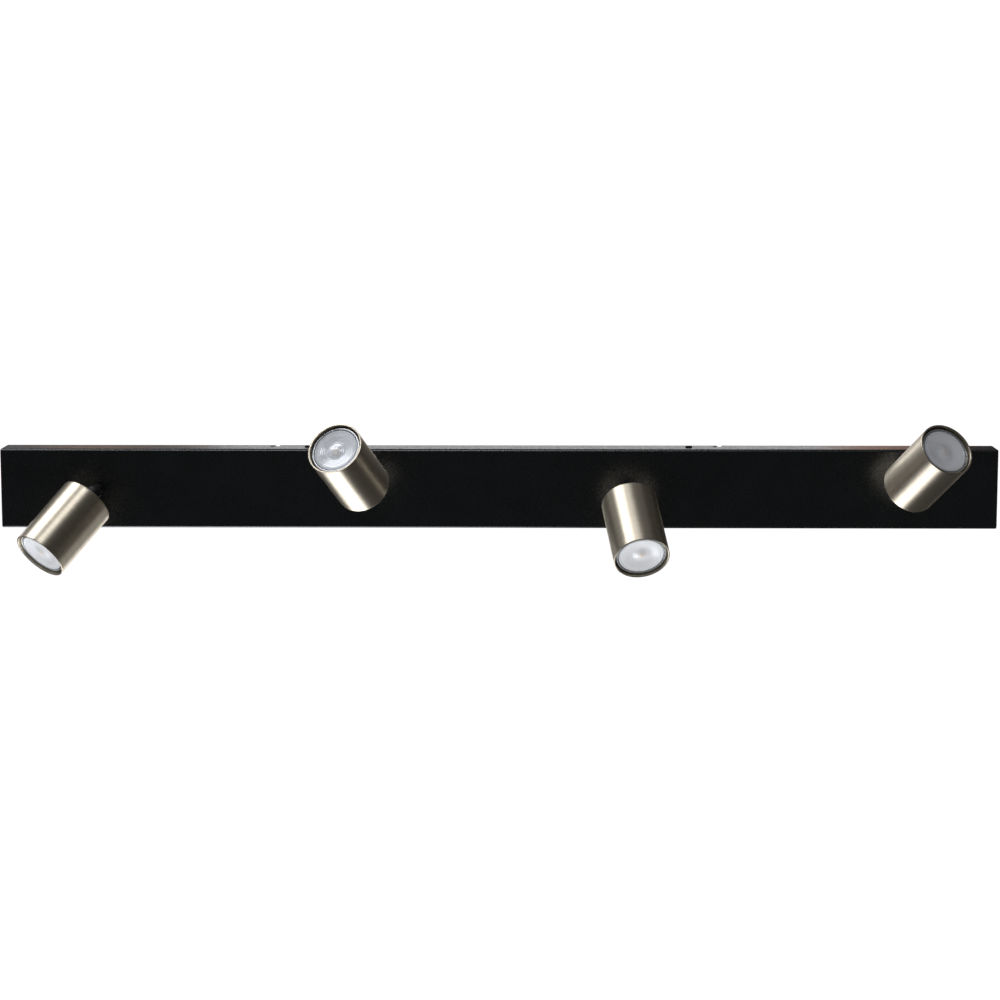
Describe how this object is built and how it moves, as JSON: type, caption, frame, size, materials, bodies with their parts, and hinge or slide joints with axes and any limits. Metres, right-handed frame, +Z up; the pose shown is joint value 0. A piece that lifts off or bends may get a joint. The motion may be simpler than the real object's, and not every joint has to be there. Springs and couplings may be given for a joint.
{
  "type": "spotlight bar",
  "caption": "Wall or ceiling spotlight bar: a long flat black metal canopy with round brushed-metal spot heads, each on a short stem that turns and tilts.",
  "frame": {"origin": "on the wall plane, in the middle of the mounting bracket's flat back face", "axes": "+X along the bar, +Y into the wall, +Z up as pictured; the spots face -Y"},
  "size_m": [1, 0.1528, 0.1511],
  "materials": {
    "black_paint": "satin black powder coat",
    "black_hardware": "satin black",
    "brushed_nickel": "brushed round the tube, warm satin nickel",
    "plated_steel": "zinc plated",
    "brass": "plain",
    "ceramic": "unglazed white",
    "lamp_shell": "satin silver white",
    "lamp_lens": "clear, with ring optics",
    "rubber": "matt",
    "nylon": "natural white",
    "lead_sheath": "pale grey sheath"
  },
  "bodies": {
    "root": {"canopy": "black_paint", "mounting_bracket": "plated_steel", "cable_grommet": "rubber", "terminal_block": "nylon", "earth_screw": "brass", "side_screw_left_bottom": "black_hardware", "side_screw_left_top": "black_hardware", "side_screw_right_bottom": "black_hardware", "side_screw_right_top": "black_hardware", "spot_lead_1": "lead_sheath", "spot_lead_2": "lead_sheath", "spot_lead_3": "lead_sheath", "spot_lead_4": "lead_sheath"},
    "swivel_1": {"stem_1": "black_hardware", "stem_washer_1": "plated_steel", "stem_nut_1": "plated_steel"},
    "head_1": {"clevis_1": "black_hardware", "hinge_pin_1": "plated_steel", "housing_1": "brushed_nickel", "holder_strap_1": "plated_steel", "knuckle_nut_1": "plated_steel", "lamp_holder_1": "ceramic", "lamp_body_1": "lamp_shell", "lamp_lens_1": "lamp_lens"},
    "swivel_2": {"stem_2": "black_hardware", "stem_washer_2": "plated_steel", "stem_nut_2": "plated_steel"},
    "head_2": {"clevis_2": "black_hardware", "hinge_pin_2": "plated_steel", "housing_2": "brushed_nickel", "holder_strap_2": "plated_steel", "knuckle_nut_2": "plated_steel", "lamp_holder_2": "ceramic", "lamp_body_2": "lamp_shell", "lamp_lens_2": "lamp_lens"},
    "swivel_3": {"stem_3": "black_hardware", "stem_washer_3": "plated_steel", "stem_nut_3": "plated_steel"},
    "head_3": {"clevis_3": "black_hardware", "hinge_pin_3": "plated_steel", "housing_3": "brushed_nickel", "holder_strap_3": "plated_steel", "knuckle_nut_3": "plated_steel", "lamp_holder_3": "ceramic", "lamp_body_3": "lamp_shell", "lamp_lens_3": "lamp_lens"},
    "swivel_4": {"stem_4": "black_hardware", "stem_washer_4": "plated_steel", "stem_nut_4": "plated_steel"},
    "head_4": {"clevis_4": "black_hardware", "hinge_pin_4": "plated_steel", "housing_4": "brushed_nickel", "holder_strap_4": "plated_steel", "knuckle_nut_4": "plated_steel", "lamp_holder_4": "ceramic", "lamp_body_4": "lamp_shell", "lamp_lens_4": "lamp_lens"}
  },
  "joints": [
    {"name": "pan_1", "type": "hinge", "parent": "root", "child": "swivel_1", "pos_m": [-0.401, -0.035, 0], "axis": [0, -1, 0], "range_deg": [-45.4, 304.6]},
    {"name": "tilt_1", "type": "hinge", "parent": "swivel_1", "child": "head_1", "pos_m": [-0.401, -0.067, 0], "axis": [0.7705, 0, -0.6374], "range_deg": [-54.8, 35.2]},
    {"name": "pan_2", "type": "hinge", "parent": "root", "child": "swivel_2", "pos_m": [-0.1285, -0.035, 0], "axis": [0, -1, 0], "range_deg": [-292.7, 57.3]},
    {"name": "tilt_2", "type": "hinge", "parent": "swivel_2", "child": "head_2", "pos_m": [-0.1285, -0.067, 0], "axis": [-0.8854, 0, -0.4648], "range_deg": [-42.2, 47.8]},
    {"name": "pan_3", "type": "hinge", "parent": "root", "child": "swivel_3", "pos_m": [0.1285, -0.035, 0], "axis": [0, -1, 0], "range_deg": [-98, 252]},
    {"name": "tilt_3", "type": "hinge", "parent": "swivel_3", "child": "head_3", "pos_m": [0.1285, -0.067, 0], "axis": [0.9744, 0, 0.225], "range_deg": [-38.9, 51.1]},
    {"name": "pan_4", "type": "hinge", "parent": "root", "child": "swivel_4", "pos_m": [0.401, -0.035, 0], "axis": [0, -1, 0], "range_deg": [-232.8, 117.2]},
    {"name": "tilt_4", "type": "hinge", "parent": "swivel_4", "child": "head_4", "pos_m": [0.401, -0.067, 0], "axis": [-0.8462, 0, 0.5329], "range_deg": [-44, 46]}
  ]
}
